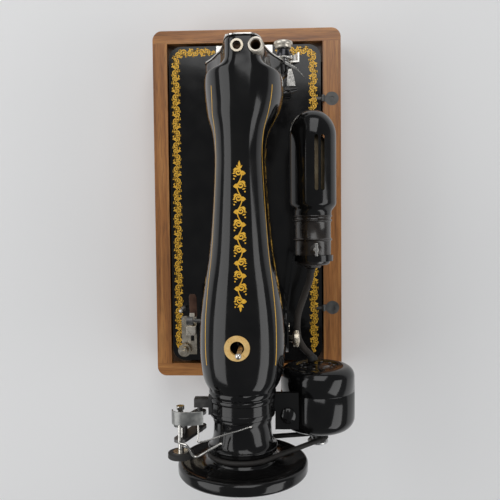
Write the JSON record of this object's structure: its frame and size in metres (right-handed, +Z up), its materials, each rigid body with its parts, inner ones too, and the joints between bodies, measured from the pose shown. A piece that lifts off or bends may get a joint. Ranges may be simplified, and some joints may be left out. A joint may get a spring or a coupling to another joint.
{
  "type": "sewing machine",
  "caption": "Antique flatbed sewing machine head with belt motor, lamp, hand wheel and bobbin winder, hinged into a low wooden base.",
  "frame": {"origin": "centre of the wooden base's underside, on the surface it stands on", "axes": "+X along the bed towards the handwheel, +Y from the operator towards the rear, +Z up"},
  "size_m": [0.456, 0.221, 0.296],
  "materials": {
    "wood": "satin varnish",
    "wood_dark": "matt",
    "rubber": "matt",
    "black_japan": "high gloss",
    "nickel": "polished",
    "steel": "bright",
    "dark_steel": "dull",
    "brass": "polished",
    "bronze": "dull",
    "bakelite": "gloss",
    "belt": "matt",
    "glass": "frosted",
    "cloth_lead": "matt"
  },
  "bodies": {
    "base": {"base_frame": "wood", "base_floor": "wood_dark", "bed_pads": "wood_dark", "hinge_leaves": "dark_steel"},
    "head": {"bed": "black_japan", "hinge_tongues": "dark_steel", "needle_plate": "nickel", "arm": "black_japan", "rear_cover": "black_japan", "face_plate": "nickel", "cover_screws": "nickel", "bracket_screws": "dark_steel", "head_bushings": "nickel", "shaft_bushings": "bronze", "presser_spring": "steel", "tension_post": "steel", "tension_discs": "nickel", "tension_springs": "steel", "thread_guard": "nickel", "bobbin_case": "steel", "motor_bracket": "black_japan", "motor_housing": "black_japan", "drive_belt": "belt", "lamp_bracket": "steel", "lamp_socket": "bakelite", "lamp_bulb": "glass", "lamp_lead": "cloth_lead", "winder_bracket": "steel", "regulator_plate": "nickel", "winding_tension": "nickel", "spool_pin": "nickel", "spool_ring": "brass"},
    "slide_plate": {"slide_plate": "nickel"},
    "main_shaft": {"arm_shaft": "steel", "needle_crank": "steel", "handwheel": "black_japan"},
    "clutch_knob": {"clutch_knob": "nickel"},
    "needle_bar": {"needle_bar": "steel", "needle_clamp": "nickel", "needle": "nickel"},
    "take_up": {"take_up_lever": "nickel"},
    "presser_bar": {"presser_bar": "steel", "presser_foot": "nickel"},
    "pressure_screw": {"pressure_screw": "nickel"},
    "presser_lifter": {"presser_lifter": "black_japan"},
    "tension_dial": {"tension_dial": "nickel"},
    "hook": {"hook_shaft": "dark_steel", "shuttle": "steel"},
    "bobbin": {"bobbin": "steel"},
    "feed_dog": {"feed_dog": "steel"},
    "motor_rotor": {"motor_rotor": "steel"},
    "lamp_shade": {"lamp_shade": "black_japan"},
    "lamp_switch": {"lamp_switch": "nickel"},
    "winder_arm": {"winder_arm": "steel"},
    "winder_spindle": {"winder_spindle": "nickel", "winder_tyre": "rubber"},
    "stitch_lever": {"stitch_lever": "steel"},
    "thumb_screw": {"thumb_screw": "nickel"}
  },
  "joints": [
    {"name": "head_tilt", "type": "hinge", "parent": "base", "child": "head", "pos_m": [0, 0.0895, 0.0656], "axis": [-1, 0, 0], "range_deg": [0, 60]},
    {"name": "slide_plate_slide", "type": "slide", "parent": "head", "child": "slide_plate", "axis": [-1, 0, 0], "range_m": [0, 0.03]},
    {"name": "handwheel_turn", "type": "hinge", "parent": "head", "child": "main_shaft", "pos_m": [0, 0.0015, 0.23], "axis": [1, 0, 0], "continuous": true},
    {"name": "clutch_turn", "type": "hinge", "parent": "main_shaft", "child": "clutch_knob", "pos_m": [0.24, 0.0015, 0.23], "axis": [1, 0, 0], "range_deg": [0, 90]},
    {"name": "needle_bar_slide", "type": "slide", "parent": "head", "child": "needle_bar", "axis": [0, 0, -1], "range_m": [0, 0.031]},
    {"name": "take_up_swing", "type": "hinge", "parent": "head", "child": "take_up", "pos_m": [-0.116, -0.011, 0.196], "axis": [0, -1, 0], "range_deg": [0, 50]},
    {"name": "presser_bar_slide", "type": "slide", "parent": "head", "child": "presser_bar", "axis": [0, 0, 1], "range_m": [0, 0.0067], "deforming": ["presser_spring"]},
    {"name": "presser_lifter_turn", "type": "hinge", "parent": "head", "child": "presser_lifter", "pos_m": [-0.108, 0.0175, 0.161], "axis": [0, 1, 0], "range_deg": [0, 40]},
    {"name": "pressure_screw_turn", "type": "hinge", "parent": "head", "child": "pressure_screw", "pos_m": [-0.128, 0.0175, 0.255], "axis": [0, 0, 1], "range_deg": [0, 360]},
    {"name": "tension_dial_turn", "type": "hinge", "parent": "head", "child": "tension_dial", "pos_m": [-0.16, 0.042, 0.167], "axis": [1, 0, 0], "range_deg": [0, 300]},
    {"name": "hook_rock", "type": "hinge", "parent": "head", "child": "hook", "pos_m": [0, 0.0015, 0.0355], "axis": [1, 0, 0], "range_deg": [0, 200]},
    {"name": "bobbin_spin", "type": "hinge", "parent": "head", "child": "bobbin", "pos_m": [-0.14, 0.0015, 0.0355], "axis": [1, 0, 0], "continuous": true},
    {"name": "feed_dog_slide", "type": "slide", "parent": "head", "child": "feed_dog", "axis": [0, 1, 0], "range_m": [-0.002, 0.002]},
    {"name": "motor_spin", "type": "hinge", "parent": "head", "child": "motor_rotor", "pos_m": [0.2, 0.073, 0.191], "axis": [1, 0, 0], "continuous": true},
    {"name": "lamp_shade_turn", "type": "hinge", "parent": "head", "child": "lamp_shade", "pos_m": [0, 0.07, 0.175], "axis": [1, 0, 0], "range_deg": [-60, 60]},
    {"name": "lamp_switch_turn", "type": "hinge", "parent": "head", "child": "lamp_switch", "pos_m": [0.048, 0.072, 0.193], "axis": [0, 0, 1], "range_deg": [0, 90]},
    {"name": "winder_swing", "type": "hinge", "parent": "head", "child": "winder_arm", "pos_m": [0.2, -0.04, 0.215], "axis": [-1, 0, 0], "range_deg": [0, 25]},
    {"name": "winder_spin", "type": "hinge", "parent": "winder_arm", "child": "winder_spindle", "pos_m": [0.215, -0.053, 0.25], "axis": [1, 0, 0], "continuous": true},
    {"name": "stitch_lever_swing", "type": "hinge", "parent": "head", "child": "stitch_lever", "pos_m": [0.128, -0.025, 0.125], "axis": [1, 0, 0], "range_deg": [-16, 16]},
    {"name": "thumb_screw_turn", "type": "hinge", "parent": "head", "child": "thumb_screw", "pos_m": [0.136, 0.0452, 0.187], "axis": [0, 1, 0], "range_deg": [0, 360]}
  ],
  "couplings": [
    {"joint": "motor_spin", "follows": "handwheel_turn", "ratio": 3.875},
    {"joint": "needle_bar_slide", "follows": "hook_rock", "m_per_rad": 0.008881},
    {"joint": "take_up_swing", "follows": "hook_rock", "ratio": 0.25},
    {"joint": "presser_lifter_turn", "follows": "presser_bar_slide", "rad_per_m": 102.67}
  ]
}
